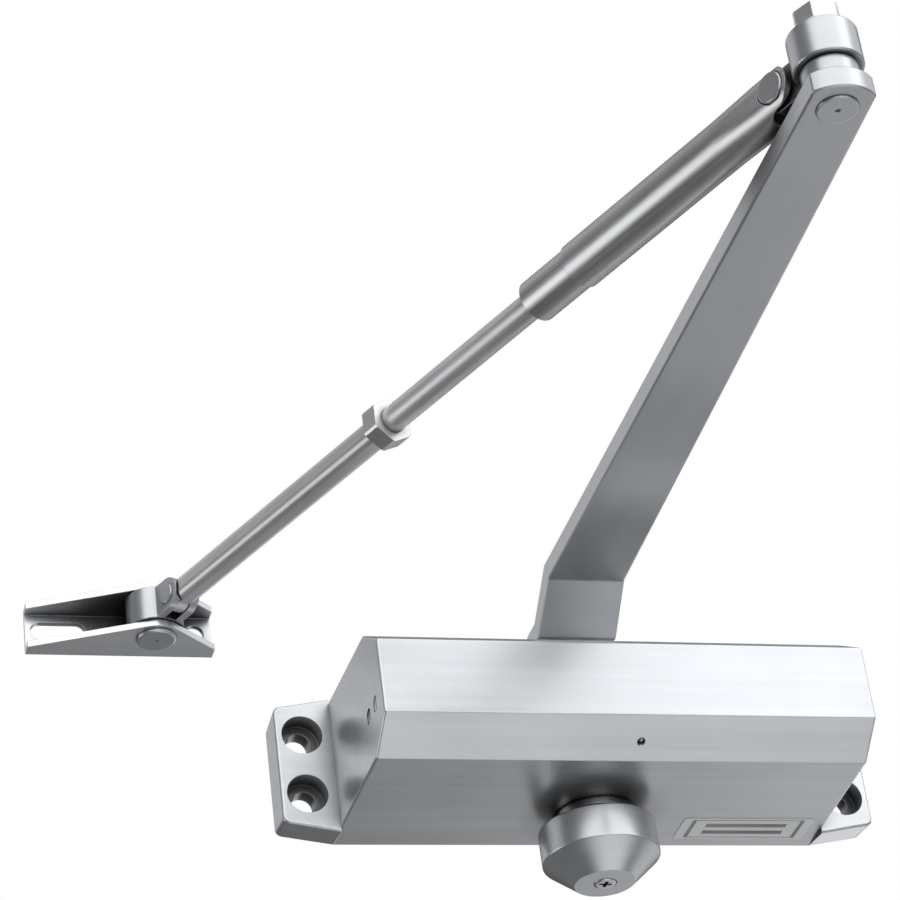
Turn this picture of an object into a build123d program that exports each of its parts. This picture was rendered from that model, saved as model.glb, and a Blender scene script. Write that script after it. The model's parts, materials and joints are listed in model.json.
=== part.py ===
from build123d import *
import math
import os

os.makedirs("parts", exist_ok=True)

# Surface-mounted hydraulic door closer with a regular double arm.
# Frame: origin at the centre of the four body screws, on the back face.
# X runs along the body, -Y points away from the door, +Z is the side that carries the arm.
# All sizes are in millimetres.

# Body casting
FRONT_LENGTH = 146.0
BACK_LENGTH = 149.2
SIDE_HEIGHT = 39.0
BACK_HEIGHT = 40.4
BODY_DEPTH = 66.0
FRONT_HEIGHT = 23.0
CHAMFER_DEPTH = 13.0
EDGE_RADIUS = 0.7

# Mounting feet
HOLE_SPACING_X = 166.0
HOLE_SPACING_Z = 19.0
HOLE_RADIUS = 3.6
COUNTERBORE_RADIUS = 6.1
COUNTERBORE_DEPTH = 6.5
FOOT_START = 74.0
FOOT_END = 91.0
FOOT_THICKNESS = 11.6
FOOT_FRONT_HALF_HEIGHTS = (21.6, 18.6)
FOOT_BACK_HALF_HEIGHTS = (20.2, 17.4)
FOOT_CORNER = 2.2

# Cylinder bore, which runs along X
BORE_RADIUS = 15.0
BORE_Y = -37.0
BORE_LEFT = -41.5
PLUG_RADIUS = 17.0
PLUG_START = 64.5
PLUG_NOSE = 60.0

# Pinion, whose axis is parallel to Z
PINION_X = 0.0
PINION_Y = -20.0
MODULE = 1.0
TEETH = 13
PRESSURE_ANGLE = math.radians(20)
GEAR_HALF_WIDTH = 8.5
SHAFT_RADIUS = 5.5
SQUARE = 9.0
PINION_BORE = 8.0
BEARING_START = 12.4
BEARING_END = 15.6
SEAL_END = 18.0
RETAINER_RADIUS = 12.0
RETAINER_END = 22.6
SPOT_FACE = 19.6
RUNNING_FIT = 0.05

# Piston
PISTON_LEFT = -40.5
PISTON_RIGHT = 14.0
WINDOW_LEFT = -28.0
WINDOW_RIGHT = 9.2
RACK_ADDENDUM = 0.75
DEDENDUM = 1.25
BACKLASH = 0.3

# Spring between the piston and the end plug
SPRING_WIRE = 3.4
SPRING_MEAN_RADIUS = 12.2
SPRING_TURNS = 5.5

# Speed valves in the left end face
VALVE_RADIUS = 2.25
VALVE_LENGTH = 16.0
VALVE_Z = -5.2
CLOSING_VALVE_Y = -58.4
LATCHING_VALVE_Y = -50.9
PASSAGE_X = 3.2
PASSAGE_RADIUS = 1.3
PASSAGE_BALL_RADIUS = 1.1
PASSAGE_BALL_Z = -15.0

# Pinion cap under the body
CAP_RADIUS = 17.3
CAP_TOP = -24.6
CAP_RIM = -34.7
CAP_END = -42.0
CAP_END_RADIUS = 9.0
CAP_WALL = 2.0

# Main arm
ARM_ANGLE = -90.405
ARM_LENGTH = 247.4
ARM_THICKNESS = 6.0
HUB_RADIUS = 12.3
ARM_END_HALF_WIDTH = 8.2
ARM_END_CORNER = 5.4
ARM_END_CROWN = 9.0
HUB_BOTTOM = 34.0
FLAT_BOTTOM = 45.0
JOGGLE_START = 8.6
JOGGLE_END = 24.4

# Elbow
STUD_RADIUS = 4.0
COLLAR_RADIUS = 7.3
COLLAR_TOP = 56.1
KNUCKLE_RADIUS = 8.9
KNUCKLE_BOTTOM = 56.4
KNUCKLE_TOP = 67.2
NUT_TOP = 74.2

# Forearm
FOREARM_Z = 59.4
FOREARM_ANGLE = 113.28
FOREARM_LENGTH = 299.2
ELBOW_RIVET = 14.4
TUBE_RADIUS = 6.6
TUBE_BORE = 5.3
TUBE_STEP = 95.0
TUBE_END = 113.0
TUBE_END_RADIUS = 6.1
FORK_WIDTH = 12.0
FORK_HEIGHT = 13.6
FORK_CORNER = 5.0
FORK_WALL = 2.0
RIVET_SEAT = 5.3
FORK_START = 21.0
FORK_END = 36.0
MOUTH_END = 19.0
NOSE_RADIUS = 5.6
ROD_RADIUS = 3.8
ROD_START = 88.0
BAR_START = 183.4
BAR_WIDTH = 7.5
BAR_CORNER = 2.6
NUT_START = 177.8
NUT_ACROSS_FLATS = 12.2
SHOE_RIVET = 286.2
TONGUE = 3.4
TAB = 2.4

# Shoe
SHOE_BOTTOM = 52.0
SHOE_TOP = 67.2
SHEET = 2.0
SHOE_LEFT = -157.8
SHOE_RIGHT = -100.8
SHOE_PLATE_Y = 18.4
FLANGE_LEFT_Y = 14.7
FLANGE_RIGHT_Y = 14.4
EAR_RADIUS = 7.4
SHOE_BARREL_RADIUS = 8.6
SHOE_PIN_RADIUS = 3.0
SLOT_CENTRE = -147.8
SLOT_LENGTH = 16.8
SCREW_HOLE_X = -106.0
SHOE_HOLE_RADIUS = 3.0

# Label
LABEL_LENGTH = 41.0
LABEL_WIDTH = 13.0
LABEL_X = 49.3
LABEL_Y = -11.3

# Worked out from the sizes above
HALF_LENGTH = FRONT_LENGTH / 2
HALF_HEIGHT = SIDE_HEIGHT / 2
SIDE_SLOPE = (BACK_HEIGHT - SIDE_HEIGHT) / 2 / (BODY_DEPTH - CHAMFER_DEPTH)
PITCH_RADIUS = MODULE * TEETH / 2
RACK_PITCH_Y = PINION_Y - PITCH_RADIUS
TOOTH_PITCH = math.pi * MODULE
ELBOW_X = PINION_X + ARM_LENGTH * math.cos(math.radians(ARM_ANGLE))
ELBOW_Y = PINION_Y + ARM_LENGTH * math.sin(math.radians(ARM_ANGLE))
PIN_X = ELBOW_X + FOREARM_LENGTH * math.cos(math.radians(FOREARM_ANGLE))
PIN_Y = ELBOW_Y + FOREARM_LENGTH * math.sin(math.radians(FOREARM_ANGLE))

# Places where sub-parts are built on their own axes
PINION_AXIS = Pos(PINION_X, PINION_Y, 0)
ARM_AXIS = Location((PINION_X, PINION_Y, 0), (0, 0, ARM_ANGLE))
ELBOW_AXIS = Pos(ELBOW_X, ELBOW_Y, 0)
FOREARM_AXIS = Location((ELBOW_X, ELBOW_Y, FOREARM_Z), (0, 0, FOREARM_ANGLE))
PIN_AXIS = Pos(PIN_X, PIN_Y, 0)

FROM_BASE = (Align.CENTER, Align.CENTER, Align.MIN)


def z_disc(radius, low, high):
    """Cylinder along Z from low to high, centred on the origin."""
    return Pos(0, 0, low) * Cylinder(radius, high - low, align=FROM_BASE)


def z_ring(outer, inner, low, high):
    return z_disc(outer, low, high) - z_disc(inner, low - 1, high + 1)


def x_disc(radius, left, right, y=0.0, z=0.0):
    """Cylinder along X from left to right."""
    return Pos(left, y, z) * Rot(0, 90, 0) * Cylinder(radius, right - left, align=FROM_BASE)


def y_disc(radius, front, back, x=0.0, z=0.0):
    """Cylinder along Y from front (lower Y) to back."""
    return Pos(x, front, z) * Rot(-90, 0, 0) * Cylinder(radius, back - front, align=FROM_BASE)


def block(x, y, z):
    """Box from three (low, high) pairs."""
    centre = Pos((x[0] + x[1]) / 2, (y[0] + y[1]) / 2, (z[0] + z[1]) / 2)
    return centre * Box(x[1] - x[0], y[1] - y[0], z[1] - z[0])


def z_hexagon(across_flats, low, high):
    face = RegularPolygon(across_flats / math.sqrt(3), 6)
    return Pos(0, 0, low) * extrude(face, amount=high - low)


def cross_recess(width, depth, top):
    """Crossed slots that narrow downwards, cut into a screw head whose top is at Z = top."""
    low = Pos(0, 0, top - depth)
    arm = low * extrude(Rectangle(width, width / 4), amount=depth + 1, taper=-4)
    return arm + low * Rot(0, 0, 90) * extrude(Rectangle(width, width / 4), amount=depth + 1, taper=-4)


def save(shape, name):
    export_step(shape, f"parts/{name}.step")


# ---------------------------------------------------------------- body casting

def body_prism():
    """Cast prism with chamfered front edges; its sides and ends flare slightly towards the door."""
    chamfer_y = -(BODY_DEPTH - CHAMFER_DEPTH)
    upper = [
        (0, BACK_HEIGHT / 2),
        (chamfer_y, HALF_HEIGHT),
        (-BODY_DEPTH, FRONT_HEIGHT / 2),
    ]
    lower = [(y, -z) for y, z in reversed(upper)]
    section = Plane.YZ * make_face(Polyline(*upper, *lower, close=True))
    prism = extrude(section, amount=BACK_LENGTH, both=True)
    plan = Polyline(
        (-BACK_LENGTH / 2, 0),
        (BACK_LENGTH / 2, 0),
        (HALF_LENGTH, -BODY_DEPTH),
        (-HALF_LENGTH, -BODY_DEPTH),
        close=True,
    )
    prism = prism & extrude(make_face(plan), amount=BACK_HEIGHT, both=True)
    front_edges = prism.edges().filter_by(lambda edge: edge.center().Y < -1)
    return fillet(front_edges, EDGE_RADIUS)


def foot_outline(side, root_half, end_half):
    outline = Polyline(
        (side * FOOT_START, -root_half),
        (side * FOOT_END, -end_half),
        (side * FOOT_END, end_half),
        (side * FOOT_START, root_half),
        close=True,
    )
    face = make_face(outline)
    outer_corners = face.vertices().filter_by(lambda v: abs(v.X) > FOOT_END - 1)
    return Plane.XZ * fillet(outer_corners, FOOT_CORNER)


def foot(side):
    """Screw foot at one end, a little taller at its front; side is -1 for the left and 1 for the right."""
    back = foot_outline(side, *FOOT_BACK_HALF_HEIGHTS)
    front = Pos(0, -FOOT_THICKNESS, 0) * foot_outline(side, *FOOT_FRONT_HALF_HEIGHTS)
    plate = loft([back, front])
    rim = plate.edges().filter_by(
        lambda e: e.center().Y < -FOOT_THICKNESS + 0.01 and abs(e.center().X) > FOOT_START + 1
    )
    return fillet(rim, 0.8)


def foot_holes():
    holes = Part()
    for side_x in (-1, 1):
        for side_z in (-1, 1):
            x = side_x * HOLE_SPACING_X / 2
            z = side_z * HOLE_SPACING_Z / 2
            holes += y_disc(HOLE_RADIUS, -FOOT_THICKNESS - 1, 1, x, z)
            floor = -FOOT_THICKNESS + COUNTERBORE_DEPTH
            holes += y_disc(COUNTERBORE_RADIUS, -FOOT_THICKNESS - 1, floor, x, z)
    return holes


def oil_passages():
    closing = x_disc(PASSAGE_RADIUS, -HALF_LENGTH, PASSAGE_X, CLOSING_VALVE_Y, VALVE_Z)
    latching = x_disc(PASSAGE_RADIUS, -HALF_LENGTH, BORE_LEFT + 1, LATCHING_VALVE_Y, VALVE_Z)
    cross_hole = z_disc(PASSAGE_RADIUS, PASSAGE_BALL_Z + 2, VALVE_Z)
    cross_hole += z_disc(PASSAGE_BALL_RADIUS + RUNNING_FIT, -HALF_HEIGHT, PASSAGE_BALL_Z + 3)
    cross_hole = Pos(PASSAGE_X, CLOSING_VALVE_Y, 0) * cross_hole
    into_bore = y_disc(PASSAGE_RADIUS, CLOSING_VALVE_Y, BORE_Y - BORE_RADIUS + 2, PASSAGE_X, VALVE_Z)
    return closing + latching + cross_hole + into_bore


def body_casting():
    casting = body_prism() + foot(-1) + foot(1)
    casting -= foot_holes()
    casting -= x_disc(BORE_RADIUS, BORE_LEFT, HALF_LENGTH + 3, BORE_Y)
    casting -= x_disc(PLUG_RADIUS, PLUG_START, HALF_LENGTH + 3, BORE_Y)
    casting -= PINION_AXIS * z_disc(PINION_BORE, -BACK_HEIGHT, BACK_HEIGHT)
    for flip in (0, 180):
        casting -= PINION_AXIS * Rot(flip, 0, 0) * z_disc(RETAINER_RADIUS + 0.8, SPOT_FACE, BACK_HEIGHT)
    for valve_y in (CLOSING_VALVE_Y, LATCHING_VALVE_Y):
        bore_end = -HALF_LENGTH + VALVE_LENGTH + 2
        casting -= x_disc(VALVE_RADIUS + RUNNING_FIT, -HALF_LENGTH - 1, bore_end, valve_y, VALVE_Z)
    return casting - oil_passages()


save(body_casting(), "body_casting")

save(Pos(PASSAGE_X, CLOSING_VALVE_Y, PASSAGE_BALL_Z) * Sphere(PASSAGE_BALL_RADIUS), "passage_ball")

label_z = -BACK_HEIGHT / 2 - LABEL_Y * SIDE_SLOPE
label_place = Pos(LABEL_X, LABEL_Y, label_z) * Rot(-math.degrees(math.atan(SIDE_SLOPE)), 0, 0)
label_face = RectangleRounded(LABEL_LENGTH, LABEL_WIDTH, 1.0)
save(label_place * extrude(label_face, amount=-0.15), "body_label")


# ---------------------------------------------------------------- end plug, spring and piston

def end_plug():
    groove_floor = BORE_RADIUS - 2.2
    plug = x_disc(PLUG_RADIUS - 0.05, PLUG_START, HALF_LENGTH - 0.6, BORE_Y)
    plug += x_disc(BORE_RADIUS - 0.05, PLUG_NOSE, PLUG_START, BORE_Y)
    groove = x_disc(BORE_RADIUS + 1, 61.2, 63.4, BORE_Y) - x_disc(groove_floor, 61.2, 63.4, BORE_Y)
    plug -= groove
    socket = RegularPolygon(14.0 / math.sqrt(3), 6)
    plug -= Pos(HALF_LENGTH - 6.0, BORE_Y, 0) * Rot(0, 90, 0) * extrude(socket, amount=8)
    return plug


save(end_plug(), "end_plug")

plug_seal = x_disc(BORE_RADIUS - 0.02, 61.3, 63.3, BORE_Y) - x_disc(BORE_RADIUS - 2.18, 61, 64, BORE_Y)
save(plug_seal, "end_plug_seal")


def closer_spring():
    left = PISTON_RIGHT + SPRING_WIRE / 2 + 0.2
    right = PLUG_NOSE - SPRING_WIRE / 2 - 0.2
    pitch = (right - left) / SPRING_TURNS
    path = Helix(pitch, right - left, SPRING_MEAN_RADIUS)
    start = Plane(origin=path @ 0, z_dir=path % 0)
    coil = sweep(start * Circle(SPRING_WIRE / 2), path, is_frenet=True)
    return Pos(left, BORE_Y, 0) * Rot(0, 90, 0) * coil


save(closer_spring(), "closer_spring")


def rack_spaces():
    """Tooth spaces cut into the flat of the piston, pitch line at RACK_PITCH_Y."""
    tip = RACK_PITCH_Y + RACK_ADDENDUM
    root = RACK_PITCH_Y - DEDENDUM
    half_space = (TOOTH_PITCH / 2 + BACKLASH / 2) / 2
    slope = math.tan(PRESSURE_ANGLE)
    top_half = half_space + (RACK_ADDENDUM + 0.2) * slope
    root_half = half_space - DEDENDUM * slope
    space = Polyline(
        (-top_half, tip + 0.2),
        (top_half, tip + 0.2),
        (root_half, root),
        (-root_half, root),
        close=True,
    )
    cutter = Pos(0, 0, -12) * extrude(make_face(space), amount=24)
    spaces = Part()
    for tooth in range(-8, 2):
        spaces += Pos(PINION_X + (tooth + 0.5) * TOOTH_PITCH, 0, 0) * cutter
    return spaces


def piston():
    body = x_disc(BORE_RADIUS - RUNNING_FIT, PISTON_LEFT, PISTON_RIGHT, BORE_Y)
    body += x_disc(9.5, PISTON_RIGHT, PISTON_RIGHT + 5, BORE_Y)
    tip = RACK_PITCH_Y + RACK_ADDENDUM
    body -= block((WINDOW_LEFT, WINDOW_RIGHT), (tip, tip + 10), (-20, 20))
    body -= rack_spaces()
    body -= x_disc(2.2, PISTON_LEFT - 1, PISTON_LEFT + 7, BORE_Y)
    body -= x_disc(1.2, PISTON_LEFT + 6, PISTON_RIGHT + 6, BORE_Y)
    for ring_x in (PISTON_LEFT + 3, PISTON_LEFT + 6):
        groove = x_disc(BORE_RADIUS + 1, ring_x, ring_x + 1, BORE_Y)
        body -= groove - x_disc(BORE_RADIUS - 0.8, ring_x, ring_x + 1, BORE_Y)
    return body


save(piston(), "piston")
save(Pos(PISTON_LEFT + 4.9, BORE_Y, 0) * Sphere(2.0), "check_valve_ball")
retainer = x_disc(2.18, PISTON_LEFT + 0.3, PISTON_LEFT + 1.8, BORE_Y)
save(retainer - x_disc(1.0, PISTON_LEFT, PISTON_LEFT + 2, BORE_Y), "check_valve_retainer")


# ---------------------------------------------------------------- pinion and its bearings

def gear():
    """Involute gear with a tooth space facing -Y."""
    base = PITCH_RADIUS * math.cos(PRESSURE_ANGLE)
    root = PITCH_RADIUS - DEDENDUM
    tip = PITCH_RADIUS + MODULE
    roll_pitch = math.sqrt((PITCH_RADIUS / base) ** 2 - 1)
    flank_angle = roll_pitch - math.atan(roll_pitch)
    half_tooth = (TOOTH_PITCH / 2 - BACKLASH / 2) / (2 * PITCH_RADIUS)
    points = []
    for tooth in range(TEETH):
        middle = -math.pi / 2 + (tooth + 0.5) * 2 * math.pi / TEETH
        flank = []
        for step in range(7):
            radius = base + (tip - base) * step / 6
            roll = math.sqrt(max((radius / base) ** 2 - 1, 0))
            flank.append((radius, half_tooth + flank_angle - (roll - math.atan(roll))))
        flank.insert(0, (root, flank[0][1]))
        for radius, angle in flank:
            points.append((radius * math.cos(middle - angle), radius * math.sin(middle - angle)))
        for radius, angle in reversed(flank):
            points.append((radius * math.cos(middle + angle), radius * math.sin(middle + angle)))
    face = make_face(Polyline(*points, close=True))
    return Pos(0, 0, -GEAR_HALF_WIDTH) * extrude(face, amount=2 * GEAR_HALF_WIDTH)


def pinion_shaft():
    shaft = gear() + z_disc(SHAFT_RADIUS, -24.8, HUB_BOTTOM - 0.3)
    ends = z_disc(SHAFT_RADIUS, HUB_BOTTOM - 0.3, HUB_BOTTOM + 5.6) + z_disc(SHAFT_RADIUS, -32.4, -24.8)
    shaft += ends & Box(SQUARE, SQUARE, 100)
    shaft -= z_disc(3.05, 26, 45)
    shaft -= z_disc(2.05, -40, -20)
    return PINION_AXIS * shaft


save(pinion_shaft(), "pinion_shaft")


def bearing():
    """Plain bearing ring above the gear."""
    return z_ring(PINION_BORE - 0.03, SHAFT_RADIUS + RUNNING_FIT, BEARING_START, BEARING_END)


def shaft_seal():
    return z_ring(PINION_BORE - 0.03, SHAFT_RADIUS + 0.08, BEARING_END + 0.2, SEAL_END)


def bearing_retainer():
    """Threaded ring with a flange and two spanner holes."""
    ring = z_ring(PINION_BORE - 0.03, SHAFT_RADIUS + 0.35, SEAL_END + 0.1, SPOT_FACE)
    flange = z_ring(RETAINER_RADIUS, SHAFT_RADIUS + 0.35, SPOT_FACE, RETAINER_END)
    top_rim = flange.edges().filter_by(GeomType.CIRCLE).sort_by(Axis.Z)[-2:]
    ring += chamfer(top_rim.filter_by(lambda e: e.radius > RETAINER_RADIUS - 1), 0.6)
    for angle in (0, 180):
        ring -= Rot(0, 0, angle) * Pos(9.2, 0, 0) * z_disc(1.2, RETAINER_END - 2, RETAINER_END + 1)
    return ring


for make_ring, ring_name in (
    (bearing, "bearing"),
    (shaft_seal, "shaft_seal"),
    (bearing_retainer, "bearing_retainer"),
):
    ring = make_ring()
    save(PINION_AXIS * ring, f"upper_{ring_name}")
    save(PINION_AXIS * Rot(180, 0, 0) * ring, f"lower_{ring_name}")


# ---------------------------------------------------------------- speed valves

def speed_valve():
    """Needle valve along +X, head at X = 0, with a screwdriver slot and a seal groove."""
    valve = x_disc(VALVE_RADIUS, 0, VALVE_LENGTH - 4)
    valve += Pos(VALVE_LENGTH - 4, 0, 0) * Rot(0, 90, 0) * Cone(VALVE_RADIUS, 0.5, 4, align=FROM_BASE)
    valve -= block((-0.5, 1.2), (-0.35, 0.35), (-3, 3))
    groove = x_disc(VALVE_RADIUS + 1, 3.0, 4.4) - x_disc(VALVE_RADIUS - 0.8, 3.0, 4.4)
    return valve - groove


def valve_seal():
    return x_disc(VALVE_RADIUS + 0.02, 3.1, 4.3) - x_disc(VALVE_RADIUS - 0.77, 3.0, 5.0)


for valve_y, valve_name in ((CLOSING_VALVE_Y, "closing"), (LATCHING_VALVE_Y, "latching")):
    valve_place = Pos(-HALF_LENGTH, valve_y, VALVE_Z)
    save(valve_place * speed_valve(), f"{valve_name}_speed_valve")
    save(valve_place * valve_seal(), f"{valve_name}_valve_seal")


# ---------------------------------------------------------------- pinion cap

def pinion_cap():
    outline = Polyline(
        (0, CAP_END),
        (CAP_END_RADIUS, CAP_END),
        (CAP_RADIUS, CAP_RIM),
        (CAP_RADIUS, CAP_TOP),
        (CAP_RADIUS - CAP_WALL, CAP_TOP),
        (CAP_RADIUS - CAP_WALL, CAP_RIM + 0.8),
        (CAP_END_RADIUS, CAP_END + CAP_WALL + 1.2),
        (8.0, CAP_END + CAP_WALL + 1.2),
        (8.0, CAP_TOP - 1.2),
        (0, CAP_TOP - 1.2),
        close=True,
    )
    cap = revolve(Plane.XZ * make_face(outline), Axis.Z)
    rims = cap.edges().filter_by(GeomType.CIRCLE).filter_by(lambda e: e.radius > CAP_RADIUS - 0.1)
    cap = fillet(rims, 0.6)
    socket = (-SQUARE / 2 - 0.03, SQUARE / 2 + 0.03)
    cap -= block(socket, socket, (-32.7, -20))
    cap -= z_disc(2.1, -45, -30)
    cap -= z_disc(3.4, CAP_END - 1, CAP_END + 1.9)
    return PINION_AXIS * cap


save(pinion_cap(), "pinion_cap")


def cap_screw():
    head = z_disc(3.3, -CAP_END - 1.85, -CAP_END + 0.35)
    head = fillet(head.edges().sort_by(Axis.Z)[-1], 0.8)
    screw = head + z_disc(2.0, 24, -CAP_END - 1.85)
    screw -= cross_recess(3.6, 1.5, -CAP_END + 0.35)
    return PINION_AXIS * Rot(180, 0, 0) * screw


save(cap_screw(), "cap_screw")


# ---------------------------------------------------------------- main arm

def arm_profile():
    """Side view of the joggled bar, in the plane of the arm's length and Z."""
    rise = math.atan2(FLAT_BOTTOM - HUB_BOTTOM, JOGGLE_END - JOGGLE_START)
    shift = ARM_THICKNESS * math.tan(rise / 2)
    reach = ARM_LENGTH + ARM_END_CROWN + 5
    lower = [
        (-HUB_RADIUS - 5, HUB_BOTTOM),
        (JOGGLE_START, HUB_BOTTOM),
        (JOGGLE_END, FLAT_BOTTOM),
        (reach, FLAT_BOTTOM),
    ]
    upper = [
        (reach, FLAT_BOTTOM + ARM_THICKNESS),
        (JOGGLE_END - shift, FLAT_BOTTOM + ARM_THICKNESS),
        (JOGGLE_START - shift, HUB_BOTTOM + ARM_THICKNESS),
        (-HUB_RADIUS - 5, HUB_BOTTOM + ARM_THICKNESS),
    ]
    bar = extrude(Plane.XZ * make_face(Polyline(*lower, *upper, close=True)), amount=20, both=True)
    bends = bar.edges().filter_by(Axis.Y).filter_by(lambda e: 0 < e.center().X < 40)
    return fillet(bends, 1.5)


def arm_outline():
    """Tapered plan shape: a round hub and a blunt, slightly crowned end."""
    corner_x = ARM_LENGTH + ARM_END_CORNER
    lean = math.asin((HUB_RADIUS - ARM_END_HALF_WIDTH) / corner_x)
    hub_x = HUB_RADIUS * math.sin(lean)
    hub_y = HUB_RADIUS * math.cos(lean)
    sides = Polyline(
        (corner_x, ARM_END_HALF_WIDTH),
        (hub_x, hub_y),
        (hub_x, -hub_y),
        (corner_x, -ARM_END_HALF_WIDTH),
    )
    crown = ThreePointArc(sides @ 1, (ARM_LENGTH + ARM_END_CROWN, 0), sides @ 0)
    blade = make_face(sides.edges() + crown.edges())
    corners = blade.vertices().filter_by(lambda v: v.X > ARM_LENGTH)
    return Circle(HUB_RADIUS) + fillet(corners, 1.0)


def main_arm():
    arm = arm_profile() & Pos(0, 0, HUB_BOTTOM - 5) * extrude(arm_outline(), amount=30)
    long_edges = arm.edges().filter_by(lambda e: e.length > 150)
    arm = fillet(long_edges, 0.6)
    arm = ARM_AXIS * arm
    arm -= PINION_AXIS * Box(SQUARE + 0.06, SQUARE + 0.06, 2 * HUB_BOTTOM + 30)
    arm -= ELBOW_AXIS * z_disc(STUD_RADIUS + 0.52, FLAT_BOTTOM - 1, FLAT_BOTTOM + 10)
    return arm


save(main_arm(), "main_arm")

washer_bottom = HUB_BOTTOM + ARM_THICKNESS
save(PINION_AXIS * z_ring(6.4, 3.2, washer_bottom, washer_bottom + 1.3), "arm_washer")


def arm_screw():
    head_bottom = washer_bottom + 1.3
    head = z_hexagon(10.0, head_bottom, head_bottom + 4.0) & z_disc(5.6, head_bottom, head_bottom + 4.0)
    return PINION_AXIS * (head + z_disc(3.0, 28, head_bottom))


save(arm_screw(), "arm_screw")


# ---------------------------------------------------------------- elbow

def elbow_stud():
    stud = z_disc(STUD_RADIUS + 0.5, FLAT_BOTTOM, FLAT_BOTTOM + ARM_THICKNESS)
    rivet_end = z_disc(5.3, FLAT_BOTTOM - 0.6, FLAT_BOTTOM)
    stud += fillet(rivet_end.edges().sort_by(Axis.Z)[0], 0.4)
    stud -= Pos(0, 0, FLAT_BOTTOM - 0.6) * Sphere(0.7)
    collar = z_disc(COLLAR_RADIUS, FLAT_BOTTOM + ARM_THICKNESS, COLLAR_TOP)
    stud += collar
    stud += z_disc(STUD_RADIUS, COLLAR_TOP, NUT_TOP + 1.0)
    return ELBOW_AXIS * stud


save(elbow_stud(), "elbow_stud")


def elbow_knuckle():
    low, high = KNUCKLE_BOTTOM - FOREARM_Z, KNUCKLE_TOP - FOREARM_Z
    barrel = z_disc(KNUCKLE_RADIUS, low, high)
    barrel = fillet(barrel.edges().filter_by(GeomType.CIRCLE), 0.7)
    half_tongue = 2.6
    tongue = block((5, ELBOW_RIVET), (-half_tongue, half_tongue), (-NOSE_RADIUS, NOSE_RADIUS))
    tongue += y_disc(NOSE_RADIUS, -half_tongue, half_tongue, ELBOW_RIVET)
    knuckle = barrel + tongue
    knuckle -= z_disc(STUD_RADIUS + RUNNING_FIT, low - 10, high + 10)
    knuckle -= z_disc(COLLAR_RADIUS + 0.4, low - 10, low)
    knuckle -= y_disc(2.55, -5, 5, ELBOW_RIVET)
    return FOREARM_AXIS * knuckle


save(elbow_knuckle(), "elbow_knuckle")
save(ELBOW_AXIS * z_ring(7.0, STUD_RADIUS + 0.1, KNUCKLE_TOP + 0.3, KNUCKLE_TOP + 1.4), "elbow_washer")

nut_blank = z_hexagon(11.0, KNUCKLE_TOP + 1.4, NUT_TOP) & z_disc(6.1, KNUCKLE_TOP + 1.4, NUT_TOP)
save(ELBOW_AXIS * (nut_blank - z_disc(STUD_RADIUS + 0.02, KNUCKLE_TOP, NUT_TOP + 1)), "elbow_nut")


def tilt_rivet(radius, half_width, head_radius, head):
    """Rivet along Y with a low head at each end."""
    rivet = y_disc(radius, -half_width, half_width)
    for side in (-1, 1):
        cap = y_disc(head_radius, 0, head)
        cap = fillet(cap.edges().filter_by(GeomType.CIRCLE).sort_by(Axis.Y)[-1], head * 0.6)
        turn = Rot(0, 0, 0) if side > 0 else Rot(0, 0, 180)
        rivet += turn * Pos(0, half_width, 0) * cap
    return rivet


fork_rivet = tilt_rivet(2.5, RIVET_SEAT, 4.2, 1.0)
save(FOREARM_AXIS * Pos(ELBOW_RIVET, 0, 0) * fork_rivet, "elbow_tilt_rivet")


# ---------------------------------------------------------------- forearm

def along_x(x):
    """Plane across the forearm, with its own X along Y."""
    return Plane(origin=(x, 0, 0), x_dir=(0, 1, 0), z_dir=(1, 0, 0))


def flattened(width, height, corner, radius):
    """Bar with a flat section up to FORK_START that turns round by FORK_END."""
    section = RectangleRounded(width, height, corner)
    front = extrude(along_x(0) * section, amount=FORK_START)
    return front + loft([along_x(FORK_START) * section, along_x(FORK_END) * Circle(radius)])


def tube_fork():
    """Flattened mouth of the tube: two rounded prongs with an open, U-shaped gap between them."""
    inner_width = FORK_WIDTH - 2 * FORK_WALL
    inner_height = FORK_HEIGHT - 2 * FORK_WALL
    fork = flattened(FORK_WIDTH, FORK_HEIGHT, FORK_CORNER, TUBE_RADIUS)
    nose = Polyline(
        (ELBOW_RIVET, NOSE_RADIUS),
        (FORK_START, FORK_HEIGHT / 2 + 0.1),
        (FORK_END + 1, TUBE_RADIUS + 2),
        (FORK_END + 1, -TUBE_RADIUS - 2),
        (FORK_START, -FORK_HEIGHT / 2 - 0.1),
        (ELBOW_RIVET, -NOSE_RADIUS),
        close=True,
    )
    side_view = make_face(nose) + Pos(ELBOW_RIVET, 0) * Circle(NOSE_RADIUS)
    fork = fork & extrude(Plane.XZ * side_view, amount=FORK_WIDTH, both=True)
    fork -= flattened(inner_width, inner_height, 1.6, TUBE_BORE)
    gap_centre = MOUTH_END - inner_width / 2
    fork -= block((0, gap_centre), (-inner_width / 2, inner_width / 2), (-10, 10))
    fork -= Pos(gap_centre, 0, 0) * z_disc(inner_width / 2, -10, 10)
    fork -= y_disc(4.5, RIVET_SEAT, 10, ELBOW_RIVET)
    return fork - y_disc(4.5, -10, -RIVET_SEAT, ELBOW_RIVET)


def forearm_tube():
    tube = tube_fork()
    tube += x_disc(TUBE_RADIUS, FORK_END, TUBE_STEP) - x_disc(TUBE_BORE, FORK_END - 1, TUBE_STEP - 1.2)
    tube += x_disc(TUBE_END_RADIUS, TUBE_STEP, TUBE_END)
    tube -= x_disc(ROD_RADIUS + RUNNING_FIT, 80, TUBE_END + 1)
    tube -= y_disc(2.55, -8, 8, ELBOW_RIVET)
    return FOREARM_AXIS * tube


save(forearm_tube(), "forearm_tube")


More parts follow.
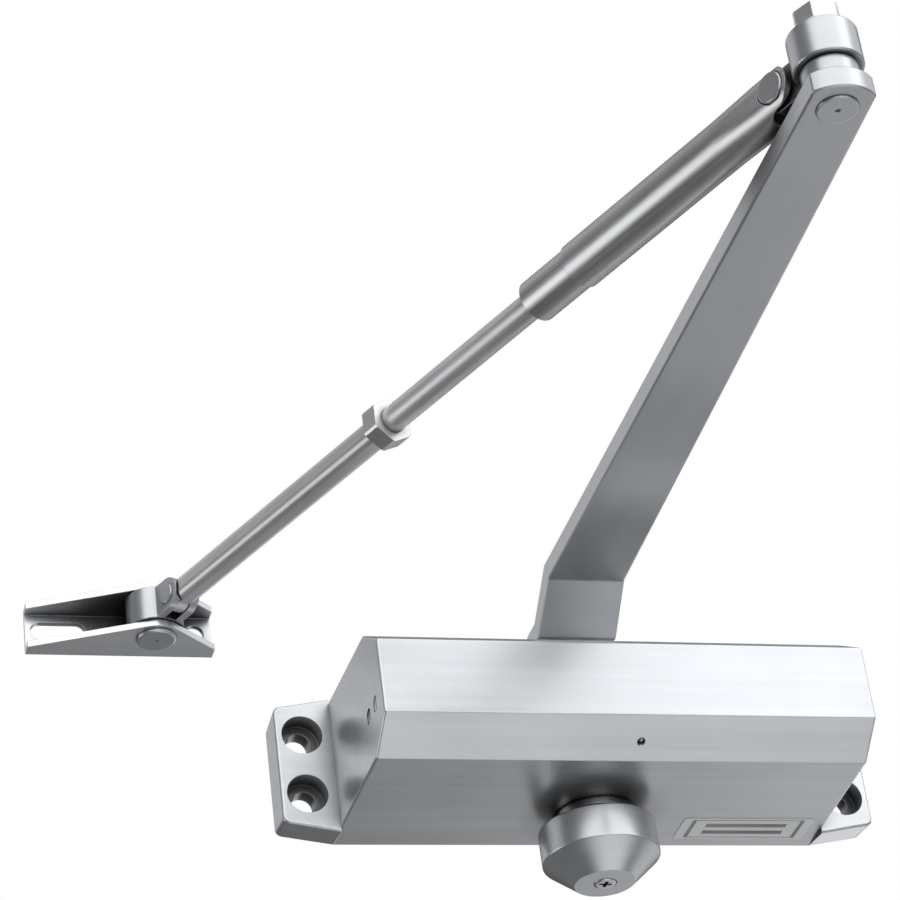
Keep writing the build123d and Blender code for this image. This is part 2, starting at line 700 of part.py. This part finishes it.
def shoe_rod():
    """Threaded rod that becomes a square forged bar and ends in a flat tongue."""
    rod = x_disc(ROD_RADIUS, ROD_START, BAR_START)
    section = along_x(BAR_START) * RectangleRounded(BAR_WIDTH, BAR_WIDTH, BAR_CORNER)
    rod += extrude(section, amount=SHOE_RIVET - BAR_START)
    rod += y_disc(4.6, -BAR_WIDTH / 2, BAR_WIDTH / 2, SHOE_RIVET)
    for side in (-1, 1):
        low, high = sorted((side * TONGUE / 2, side * 8))
        rod -= y_disc(5.9, low, high, SHOE_RIVET)
    rod -= y_disc(2.05, -8, 8, SHOE_RIVET)
    return FOREARM_AXIS * rod


save(shoe_rod(), "shoe_rod")


def lock_nut():
    nut = z_hexagon(NUT_ACROSS_FLATS, 0, BAR_START - NUT_START) & z_disc(6.8, 0, BAR_START - NUT_START)
    nut -= z_disc(ROD_RADIUS + RUNNING_FIT, -1, 10)
    return FOREARM_AXIS * Pos(NUT_START, 0, 0) * Rot(0, 90, 0) * nut


save(lock_nut(), "lock_nut")


# ---------------------------------------------------------------- shoe

def shoe_knuckle():
    """Barrel on the shoe pin with two tabs that hold the rod's tongue."""
    half_height = (SHOE_TOP - SHOE_BOTTOM) / 2 - SHEET - 0.3
    middle = (SHOE_TOP + SHOE_BOTTOM) / 2 - FOREARM_Z
    barrel = Pos(FOREARM_LENGTH, 0, middle) * z_disc(SHOE_BARREL_RADIUS, -half_height, half_height)
    width = TONGUE / 2 + 0.2 + TAB
    tabs = block((SHOE_RIVET, FOREARM_LENGTH), (-width, width), (-5.0, 5.0))
    tabs += y_disc(5.0, -width, width, SHOE_RIVET)
    slot = block((SHOE_RIVET - 8, SHOE_RIVET + 5.1), (-TONGUE / 2 - 0.2, TONGUE / 2 + 0.2), (-9, 9))
    knuckle = barrel + tabs - slot
    knuckle -= Pos(FOREARM_LENGTH, 0, 0) * z_disc(SHOE_PIN_RADIUS + RUNNING_FIT, -12, 12)
    knuckle -= y_disc(2.05, -8, 8, SHOE_RIVET)
    return FOREARM_AXIS * knuckle


save(shoe_knuckle(), "shoe_knuckle")

tab_rivet = tilt_rivet(2.0, TONGUE / 2 + 0.2 + TAB, 3.2, 0.6)
save(FOREARM_AXIS * Pos(SHOE_RIVET, 0, 0) * tab_rivet, "shoe_tilt_rivet")


def shoe_pin():
    pin = z_disc(SHOE_PIN_RADIUS, SHOE_BOTTOM, SHOE_TOP)
    head = z_disc(6.0, SHOE_BOTTOM - 1.3, SHOE_BOTTOM)
    pin += fillet(head.edges().sort_by(Axis.Z)[0], 0.7)
    pin -= Pos(0, 0, SHOE_BOTTOM - 1.3) * Sphere(0.6)
    tail = z_disc(4.2, SHOE_TOP, SHOE_TOP + 1.0)
    pin += fillet(tail.edges().sort_by(Axis.Z)[-1], 0.6)
    return PIN_AXIS * pin


save(shoe_pin(), "shoe_pin")


def ear_tangent(corner, turn):
    """Point where a line from the corner touches the ear; turn is 1 or -1 for the side it touches on."""
    reach = math.dist(corner, (PIN_X, PIN_Y))
    bearing_angle = math.atan2(corner[1] - PIN_Y, corner[0] - PIN_X)
    angle = bearing_angle + turn * math.acos(EAR_RADIUS / reach)
    return (PIN_X + EAR_RADIUS * math.cos(angle), PIN_Y + EAR_RADIUS * math.sin(angle))


def flange_outline():
    """Plan shape of a shoe flange: low at both ends, rising to a round ear at the pin."""
    back = SHOE_PLATE_Y + SHEET
    left_corner = (SHOE_LEFT, FLANGE_LEFT_Y)
    right_corner = (SHOE_RIGHT, FLANGE_RIGHT_Y)
    straight = Polyline(
        (SHOE_LEFT, back),
        left_corner,
        ear_tangent(left_corner, 1),
        ear_tangent(right_corner, -1),
        right_corner,
        (SHOE_RIGHT, back),
        close=True,
    )
    return make_face(straight) + Pos(PIN_X, PIN_Y) * Circle(EAR_RADIUS)


def shoe_bracket():
    back = SHOE_PLATE_Y + SHEET
    bracket = extrude(flange_outline(), amount=SHOE_TOP - SHOE_BOTTOM)
    bracket = Pos(0, 0, SHOE_BOTTOM) * bracket
    inside = (SHOE_BOTTOM + SHEET, SHOE_TOP - SHEET)
    bracket -= block((SHOE_LEFT - 5, SHOE_RIGHT + 5), (-20, SHOE_PLATE_Y), inside)
    corner_edges = bracket.edges().filter_by(Axis.X).filter_by(lambda e: e.center().Y > back - 0.1)
    bracket = fillet(corner_edges, 1.6)
    middle = (SHOE_BOTTOM + SHOE_TOP) / 2
    slot = SlotOverall(SLOT_LENGTH, 2 * SHOE_HOLE_RADIUS)
    bracket -= Pos(SLOT_CENTRE, back + 1, middle) * extrude(Plane.XZ * slot, amount=10)
    bracket -= y_disc(SHOE_HOLE_RADIUS, SHOE_PLATE_Y - 5, back + 1, SCREW_HOLE_X, middle)
    bracket -= PIN_AXIS * z_disc(SHOE_PIN_RADIUS + 0.02, SHOE_BOTTOM - 1, SHOE_TOP + 1)
    return bracket


save(shoe_bracket(), "shoe_bracket")
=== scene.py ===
import json
import math

import bpy
from mathutils import Matrix, Vector


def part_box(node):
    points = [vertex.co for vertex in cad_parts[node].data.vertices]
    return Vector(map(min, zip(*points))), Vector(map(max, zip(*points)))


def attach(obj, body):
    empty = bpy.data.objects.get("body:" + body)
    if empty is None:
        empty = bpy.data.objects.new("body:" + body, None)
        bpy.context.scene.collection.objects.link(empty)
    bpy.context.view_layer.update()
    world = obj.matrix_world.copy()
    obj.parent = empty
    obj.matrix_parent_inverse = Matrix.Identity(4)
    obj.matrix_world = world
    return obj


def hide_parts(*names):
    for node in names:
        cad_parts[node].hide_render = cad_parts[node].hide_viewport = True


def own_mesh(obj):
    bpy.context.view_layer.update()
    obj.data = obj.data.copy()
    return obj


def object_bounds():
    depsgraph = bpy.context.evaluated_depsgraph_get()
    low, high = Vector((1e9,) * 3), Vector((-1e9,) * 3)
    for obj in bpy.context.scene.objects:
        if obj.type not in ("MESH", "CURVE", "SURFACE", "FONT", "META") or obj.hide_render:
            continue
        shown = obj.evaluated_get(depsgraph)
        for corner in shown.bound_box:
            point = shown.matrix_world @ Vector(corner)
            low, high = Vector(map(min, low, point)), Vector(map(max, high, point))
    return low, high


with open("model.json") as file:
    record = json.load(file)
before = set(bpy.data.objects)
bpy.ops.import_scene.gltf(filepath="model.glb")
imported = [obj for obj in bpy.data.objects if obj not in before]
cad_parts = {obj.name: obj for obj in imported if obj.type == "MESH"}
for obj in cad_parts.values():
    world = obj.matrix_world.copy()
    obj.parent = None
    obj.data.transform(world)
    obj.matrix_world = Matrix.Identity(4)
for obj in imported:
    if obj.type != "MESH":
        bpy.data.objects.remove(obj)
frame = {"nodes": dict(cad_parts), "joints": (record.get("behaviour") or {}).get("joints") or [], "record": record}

# Looks for a silver door closer: camera, studio, and one procedural material for each finish.
# The frame is the CAD model's: metres, +Z on the arm's side, -Y away from the door.

cad_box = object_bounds()
MM = 0.001
joints = {joint["name"]: joint for joint in frame["joints"]}

# Camera: below the closer and in front of it, as when someone looks up at a door head.
# Place and clip distances in metres, angles in degrees, lens and sensor in millimetres.
CAMERA_PLACE = (-0.2896, -0.8136, -0.4139)
CAMERA_HEADING = 18.187
CAMERA_RISE = 31.858
CAMERA_ROLL = -7.761
CAMERA_LENS = 126.8
SENSOR_WIDTH = 36.0
CAMERA_CLIP = (0.01, 200)

# Studio. The drop is from the closer's lowest point to the floor, in metres.
FLOOR_DROP = 1.6
FLOOR_SIZE = 60.0
FLOOR_COLOUR = (0.82, 0.82, 0.82, 1)
FLOOR_ROUGHNESS = 0.9
WHITE = (1, 1, 1, 1)
ROOM_LIGHT = 0.10

# Parts of the raw output of the noise and of the two masks that are used
NOISE_RANGE = (0.3, 0.7)
EDGE_RANGE = (0.85, 1.0)
CREVICE_RANGE = (0.35, 0.82)

# Rays per point for the bevel and for the mask of painted shade in crevices
BEVEL_SAMPLES = 4
CREVICE_SAMPLES = 8

# Tints that turn a brightness value into a colour
COOL_TINT = (0.985, 1.0, 1.02)
NO_TINT = (1.0, 1.0, 1.0)
OILED_TINT = (1.0, 0.98, 0.95)
BRONZE_TINT = (1.0, 0.74, 0.42)
FOIL_TINT = (1.0, 1.0, 0.985)

# Colours of worn edges with a painted highlight, of painted shade in corners, and of the print on the sticker
WORN_AND_HIGHLIT_PAINT = (0.78, 0.79, 0.8, 1)
PAINTED_SHADE_ON_PAINT = (0.06, 0.06, 0.06, 1)
WORN_AND_HIGHLIT_STEEL = (0.85, 0.85, 0.85, 1)
PAINTED_SHADE_ON_STEEL = (0.08, 0.078, 0.075, 1)
PRINT_GREY = (0.1, 0.1, 0.11, 1)

# Print on the sticker, as parts of its half width and half height
BORDER = (0.80, 0.86)
BARS = (0.16, 0.5)
BAR_LENGTH = 0.62

# Soft boxes round the object: direction towards the box, half angles (degrees) of its full and
# its faded part, brightness
SOFT_BOXES = (
    ("front", (0.05, -0.86, 0.50), 44, 60, 1.7),
    ("front_right", (0.80, -0.20, 0.56), 24, 40, 0.7),
    ("below", (0.20, -0.20, -0.96), 14, 36, 1.0),
    ("under_front", (0.15, -0.80, -0.58), 12, 34, 0.2),
    ("under_back", (0.69, 0.58, -0.42), 10, 38, 0.7),
    ("under_left", (-0.16, 0.89, -0.42), 12, 30, 0.1),
    ("edge", (0.27, 0.36, -0.89), 4, 12, 1.2),
    ("left_strip", (-0.90, 0.30, -0.32), 9, 22, 2.2),
    ("back_strip", (0.45, 0.88, -0.15), 6, 15, 1.0),
    ("back", (-0.45, 0.70, 0.55), 10, 32, 0.65),
)


# ---------------------------------------------------------------- camera and studio

def camera_matrix(place, forward, roll):
    """Matrix of a camera at place that looks along forward and is turned by roll about it."""
    right = forward.cross(Vector((0, 0, 1))).normalized()
    up = right.cross(forward)
    turned_right = right * math.cos(roll) + up * math.sin(roll)
    turned_up = turned_right.cross(forward)
    turn = Matrix((turned_right, turned_up, -forward)).transposed()
    return Matrix.Translation(place) @ turn.to_4x4()


def make_camera():
    heading = math.radians(CAMERA_HEADING)
    rise = math.radians(CAMERA_RISE)
    forward = Vector((
        math.sin(heading) * math.cos(rise),
        math.cos(heading) * math.cos(rise),
        math.sin(rise),
    ))
    data = bpy.data.cameras.new("camera")
    data.lens = CAMERA_LENS
    data.sensor_width = SENSOR_WIDTH
    data.clip_start, data.clip_end = CAMERA_CLIP
    camera = bpy.data.objects.new("camera", data)
    bpy.context.scene.collection.objects.link(camera)
    camera.matrix_world = camera_matrix(CAMERA_PLACE, forward, math.radians(CAMERA_ROLL))
    bpy.context.scene.camera = camera


def make_world():
    """White behind the object; for its light, a dim room with soft boxes at set directions."""
    world = bpy.data.worlds.new("studio")
    bpy.context.scene.world = world
    world.use_nodes = True
    tree = world.node_tree
    tree.nodes.clear()
    direction = tree.nodes.new("ShaderNodeTexCoord").outputs["Generated"]
    room = tree.nodes.new("ShaderNodeBackground")
    room.inputs["Color"].default_value = (*COOL_TINT, 1)
    total = None
    for name, towards, full, faded, brightness in SOFT_BOXES:
        dot = tree.nodes.new("ShaderNodeVectorMath")
        dot.operation = "DOT_PRODUCT"
        dot.inputs[1].default_value = Vector(towards).normalized()
        tree.links.new(direction, dot.inputs[0])
        box = tree.nodes.new("ShaderNodeMapRange")
        box.label = name
        box.interpolation_type = "SMOOTHSTEP"
        box.inputs["From Min"].default_value = math.cos(math.radians(faded))
        box.inputs["From Max"].default_value = math.cos(math.radians(full))
        box.inputs["To Max"].default_value = brightness
        tree.links.new(dot.outputs["Value"], box.inputs["Value"])
        add = tree.nodes.new("ShaderNodeMath")
        add.inputs[0].default_value = ROOM_LIGHT
        if total is not None:
            tree.links.new(total, add.inputs[0])
        tree.links.new(box.outputs["Result"], add.inputs[1])
        total = add.outputs["Value"]
    tree.links.new(total, room.inputs["Strength"])
    backdrop = tree.nodes.new("ShaderNodeBackground")
    backdrop.inputs["Color"].default_value = WHITE
    path = tree.nodes.new("ShaderNodeLightPath")
    mix = tree.nodes.new("ShaderNodeMixShader")
    output = tree.nodes.new("ShaderNodeOutputWorld")
    tree.links.new(path.outputs["Is Camera Ray"], mix.inputs["Fac"])
    tree.links.new(room.outputs["Background"], mix.inputs[1])
    tree.links.new(backdrop.outputs["Background"], mix.inputs[2])
    tree.links.new(mix.outputs["Shader"], output.inputs["Surface"])


def make_floor():
    """Pale floor that takes shadows but lets the soft boxes below it light the object."""
    half = FLOOR_SIZE / 2
    mesh = bpy.data.meshes.new("floor")
    corners = [(-half, -half, 0), (half, -half, 0), (half, half, 0), (-half, half, 0)]
    mesh.from_pydata(corners, [], [(0, 1, 2, 3)])
    floor = bpy.data.objects.new("floor", mesh)
    floor.location.z = cad_box[0].z - FLOOR_DROP
    bpy.context.scene.collection.objects.link(floor)
    floor.visible_diffuse = False
    floor.visible_glossy = False
    material = bpy.data.materials.new("floor_paper")
    material.use_nodes = True
    shader = material.node_tree.nodes["Principled BSDF"]
    shader.inputs["Base Color"].default_value = FLOOR_COLOUR
    shader.inputs["Roughness"].default_value = FLOOR_ROUGHNESS
    mesh.materials.append(material)


# ---------------------------------------------------------------- material helpers

class Finish:
    """A material under construction, with short calls for the nodes that every finish uses."""

    def __init__(self, name):
        self.material = bpy.data.materials.new(name)
        self.material.use_nodes = True
        self.tree = self.material.node_tree
        self.shader = self.tree.nodes["Principled BSDF"]
        self.coordinates = self.tree.nodes.new("ShaderNodeTexCoord").outputs["Object"]

    def node(self, kind, **settings):
        made = self.tree.nodes.new(kind)
        for key, value in settings.items():
            setattr(made, key, value)
        return made

    def link(self, source, target):
        self.tree.links.new(source, target)

    def feed(self, socket, value):
        """Puts a constant on the socket, or links a node's output to it."""
        if isinstance(value, (int, float, tuple)):
            socket.default_value = value
        else:
            self.link(value, socket)

    def along(self, turn, stretch):
        """Coordinates turned about Z so that X runs along the piece, then scaled."""
        turned = self.node("ShaderNodeMapping", vector_type="TEXTURE")
        turned.inputs["Rotation"].default_value = (0, 0, turn)
        self.link(self.coordinates, turned.inputs["Vector"])
        scaled = self.node("ShaderNodeMapping")
        scaled.inputs["Scale"].default_value = stretch
        self.link(turned.outputs["Vector"], scaled.inputs["Vector"])
        return scaled.outputs["Vector"]

    def noise(self, scale, detail, vector=None):
        made = self.node("ShaderNodeTexNoise")
        made.inputs["Scale"].default_value = scale
        made.inputs["Detail"].default_value = detail
        self.link(vector or self.coordinates, made.inputs["Vector"])
        return made.outputs["Fac"]

    def spread(self, value, low, high, source=NOISE_RANGE):
        """The value, with its source range spread over low to high."""
        made = self.node("ShaderNodeMapRange")
        made.inputs["From Min"].default_value, made.inputs["From Max"].default_value = source
        made.inputs["To Min"].default_value = low
        made.inputs["To Max"].default_value = high
        self.link(value, made.inputs["Value"])
        return made.outputs["Result"]

    def math(self, operation, *values):
        made = self.node("ShaderNodeMath", operation=operation)
        for socket, value in zip(made.inputs, values):
            self.feed(socket, value)
        return made.outputs["Value"]

    def mix(self, factor, first, second):
        """A colour between first and second. A mix node keeps its colour sockets at 6 and 7."""
        made = self.node("ShaderNodeMix", data_type="RGBA")
        self.feed(made.inputs[0], factor)
        self.feed(made.inputs[6], first)
        self.feed(made.inputs[7], second)
        return made.outputs[2]

    def grey(self, value, tint):
        """A colour from a brightness value and a tint."""
        made = self.node("ShaderNodeCombineColor")
        for socket, part in zip(made.inputs, tint):
            self.link(self.math("MULTIPLY", value, part), socket)
        return made.outputs["Color"]

    def edge_mask(self, radius):
        """1 on edges sharper than radius, 0 on flat faces."""
        geometry = self.node("ShaderNodeNewGeometry")
        dot = self.node("ShaderNodeVectorMath", operation="DOT_PRODUCT")
        self.link(self.rounded_normal(radius), dot.inputs[0])
        self.link(geometry.outputs["Normal"], dot.inputs[1])
        return self.spread(dot.outputs["Value"], 1.0, 0.0, EDGE_RANGE)

    def corner_shade_mask(self, distance):
        """Mask of painted shade: 1 in corners and gaps, 0 in the open."""
        occlusion = self.node("ShaderNodeAmbientOcclusion", samples=CREVICE_SAMPLES)
        occlusion.inputs["Distance"].default_value = distance
        return self.spread(occlusion.outputs["AO"], 1.0, 0.0, CREVICE_RANGE)

    def bump(self, height, distance, strength, normal=None):
        made = self.node("ShaderNodeBump")
        made.inputs["Distance"].default_value = distance
        made.inputs["Strength"].default_value = strength
        self.link(height, made.inputs["Height"])
        if normal is not None:
            self.link(normal, made.inputs["Normal"])
        return made.outputs["Normal"]

    def rounded_normal(self, radius):
        bevel = self.node("ShaderNodeBevel", samples=BEVEL_SAMPLES)
        bevel.inputs["Radius"].default_value = radius
        return bevel.outputs["Normal"]

    def set(self, **values):
        sockets = {
            "colour": "Base Color",
            "metallic": "Metallic",
            "roughness": "Roughness",
            "normal": "Normal",
        }
        for key, value in values.items():
            self.feed(self.shader.inputs[sockets[key]], value)


# ---------------------------------------------------------------- finishes

def silver_paint(name, brightness, turn, streak=0.02, shade_reach=11.0):
    """Satin silver enamel: metal flake, faint streaks along the piece, worn edges with a painted highlight,
    painted shade in corners.

    streak is the strength of the streaks. The last argument is how far the painted shade reaches out of a corner,
    in mm.
    """
    finish = Finish(name)
    drawn_out = finish.along(turn, stretch=(7, 260, 260))
    streaks = finish.noise(scale=1.0, detail=3.0, vector=drawn_out)
    cloud = finish.noise(scale=38.0, detail=4.0)
    flake = finish.noise(scale=5200.0, detail=1.0)
    value = finish.spread(cloud, brightness * 0.96, brightness * 1.04)
    value = finish.math("MULTIPLY", value, finish.spread(streaks, 1 - streak, 1 + streak))
    value = finish.math("MULTIPLY", value, finish.spread(flake, 0.96, 1.04))
    base = finish.grey(value, COOL_TINT)
    # Painted shade: a near-black colour mixed in where the corner mask finds surfaces close by.
    shade = finish.math("MULTIPLY", finish.corner_shade_mask(shade_reach * MM), 0.95)
    shaded = finish.mix(shade, base, PAINTED_SHADE_ON_PAINT)
    # Lighter edges: partly wear of the paint, partly a painted highlight along the edges.
    wear_and_highlight = finish.math("MULTIPLY", finish.edge_mask(0.5 * MM), finish.spread(cloud, 0.1, 0.5))
    streaky, cloudy = finish.spread(streaks, 0.28, 0.31), finish.spread(cloud, -0.015, 0.015)
    peel = finish.noise(scale=420.0, detail=2.0)
    rounded = finish.rounded_normal(0.35 * MM)
    finish.set(
        colour=finish.mix(wear_and_highlight, shaded, WORN_AND_HIGHLIT_PAINT),
        metallic=0.65,
        roughness=finish.math("ADD", streaky, cloudy),
        normal=finish.bump(peel, distance=0.03 * MM, strength=0.12, normal=rounded),
    )
    return finish.material


def drawn_steel(name, brightness, turn, roughness, metallic=0.95):
    """Plated steel with drawing lines along the piece."""
    finish = Finish(name)
    drawn_out = finish.along(turn, stretch=(14, 1500, 1500))
    lines = finish.noise(scale=1.0, detail=4.0, vector=drawn_out)
    cloud = finish.noise(scale=60.0, detail=4.0)
    value = finish.spread(cloud, brightness * 0.93, brightness * 1.05)
    base = finish.grey(finish.math("MULTIPLY", value, finish.spread(lines, 0.9, 1.08)), NO_TINT)
    # Painted shade: a near-black colour mixed in within 3 mm of corners and gaps.
    shaded = finish.mix(finish.corner_shade_mask(3 * MM), base, PAINTED_SHADE_ON_STEEL)
    # Lighter edges: partly wear, partly a painted highlight along the edges.
    wear_and_highlight = finish.math("MULTIPLY", finish.edge_mask(0.4 * MM), 0.5)
    lined = finish.spread(lines, roughness - 0.05, roughness + 0.05)
    cloudy = finish.spread(cloud, -0.02, 0.02)
    rounded = finish.rounded_normal(0.25 * MM)
    finish.set(
        colour=finish.mix(wear_and_highlight, shaded, WORN_AND_HIGHLIT_STEEL),
        metallic=metallic,
        roughness=finish.math("ADD", lined, cloudy),
        normal=finish.bump(lines, distance=0.02 * MM, strength=0.12, normal=rounded),
    )
    return finish.material


def spring_steel():
    finish = Finish("spring_steel")
    cloud = finish.noise(scale=300.0, detail=4.0)
    finish.set(
        colour=finish.grey(finish.spread(cloud, 0.12, 0.26), OILED_TINT),
        metallic=0.9,
        roughness=finish.spread(cloud, 0.3, 0.5),
        normal=finish.bump(cloud, distance=0.03 * MM, strength=0.3),
    )
    return finish.material


def bronze():
    finish = Finish("bearing_bronze")
    grain = finish.noise(scale=1800.0, detail=3.0)
    finish.set(
        colour=finish.grey(finish.spread(grain, 0.5, 0.68), BRONZE_TINT),
        metallic=0.9,
        roughness=finish.spread(grain, 0.35, 0.55),
        normal=finish.bump(grain, distance=0.03 * MM, strength=0.4),
    )
    return finish.material


def rubber():
    finish = Finish("seal_rubber")
    grain = finish.noise(scale=1400.0, detail=3.0)
    finish.set(
        colour=finish.grey(finish.spread(grain, 0.015, 0.04), NO_TINT),
        roughness=finish.spread(grain, 0.5, 0.75),
        normal=finish.bump(grain, distance=0.03 * MM, strength=0.5),
    )
    return finish.material


def sticker(box):
    """Plain foil sticker with a generic border and two grey bars, and no text."""
    finish = Finish("label")
    cloud = finish.noise(scale=120.0, detail=4.0)
    low, high = box
    centre, half = (low + high) / 2, (high - low) / 2
    place = finish.node("ShaderNodeSeparateXYZ")
    finish.link(finish.coordinates, place.inputs["Vector"])

    def off_centre(axis, middle, reach):
        """0 at the middle of the sticker, 1 at its edge, on both sides."""
        offset = finish.math("SUBTRACT", place.outputs[axis], middle)
        return finish.math("ABSOLUTE", finish.math("DIVIDE", offset, reach))

    def band(value, limits):
        """1 where the value is between the limits, 0 elsewhere."""
        over, under = (finish.math(test, value, limit)
                       for test, limit in zip(("GREATER_THAN", "LESS_THAN"), limits))
        return finish.math("MULTIPLY", over, under)

    across = off_centre("X", centre.x, half.x)
    up = off_centre("Y", centre.y, half.y)
    border = band(finish.math("MAXIMUM", across, up), BORDER)
    bars = finish.math("MULTIPLY", band(up, BARS), finish.math("LESS_THAN", across, BAR_LENGTH))
    print_mask = finish.math("MAXIMUM", border, bars)
    print_mask = finish.math("MULTIPLY", print_mask, finish.spread(cloud, 0.75, 0.9))
    base = finish.grey(finish.spread(cloud, 0.93, 0.99), FOIL_TINT)
    dents = finish.noise(scale=500.0, detail=2.0)
    finish.set(
        colour=finish.mix(print_mask, base, PRINT_GREY),
        metallic=0.0,
        roughness=finish.spread(cloud, 0.3, 0.42),
        normal=finish.bump(dents, distance=0.02 * MM, strength=0.3),
    )
    return finish.material


def dress(node, material):
    """Gives a CAD node its material."""
    mesh = frame["nodes"][node].data
    mesh.materials.clear()
    mesh.materials.append(material)


def shortening_spring():
    """The closing spring, held at the end plug, as its own copy fixed to the body in place of the CAD node."""
    node = frame["nodes"]["closer_spring"]
    spring = bpy.data.objects.new("closing_spring", node.data.copy())
    bpy.context.scene.collection.objects.link(spring)
    spring.matrix_world = node.matrix_world
    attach(spring, "body")
    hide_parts("closer_spring")
    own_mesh(spring)


# ---------------------------------------------------------------- scene

make_camera()
make_world()
make_floor()
bpy.context.scene.view_settings.view_transform = "Standard"

forearm_axis = joints["forearm_length"]["axis"]
forearm_turn = math.atan2(forearm_axis[1], forearm_axis[0])
elbow = Vector(joints["elbow_turn"]["pos_m"])
pinion = Vector(joints["pinion_turn"]["pos_m"])
arm_turn = math.atan2(elbow.y - pinion.y, elbow.x - pinion.x)

finishes = {
    "body_paint": silver_paint("body_paint", brightness=0.62, turn=0.0, streak=0.05),
    "arm_paint": silver_paint("arm_paint", brightness=0.56, turn=arm_turn),
    "plated_tube": drawn_steel(
        "plated_tube", brightness=0.66, turn=forearm_turn, roughness=0.34, metallic=0.7),
    "zinc_screws": drawn_steel(
        "zinc_screws", brightness=0.70, turn=0.0, roughness=0.35, metallic=0.7),
    # Darker than the steel's own tone: painted shade on the bearing retainer in the shadowed gap at the cap's
    # neck.
    "machined_steel": drawn_steel("machined_steel", brightness=0.35, turn=0.0, roughness=0.3),
    "spring_steel": spring_steel(),
    "bearing_bronze": bronze(),
    "seal_rubber": rubber(),
    "label": sticker(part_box("body_label")),
}
for part in frame["record"]["subparts"]:
    dress(part["node"], finishes[part["material_slot"]])
# A lighter copy of the silver paint: painted light on a bracket that the soft boxes barely reach, with painted
# shade 18 mm out of corners.
dress("shoe_bracket", silver_paint("shoe_paint_with_painted_light", brightness=0.80, turn=0.0, shade_reach=18.0))
dress("shoe_rod", drawn_steel(
    "rod_steel", brightness=0.72, turn=forearm_turn, roughness=0.4, metallic=0.5))
shortening_spring()
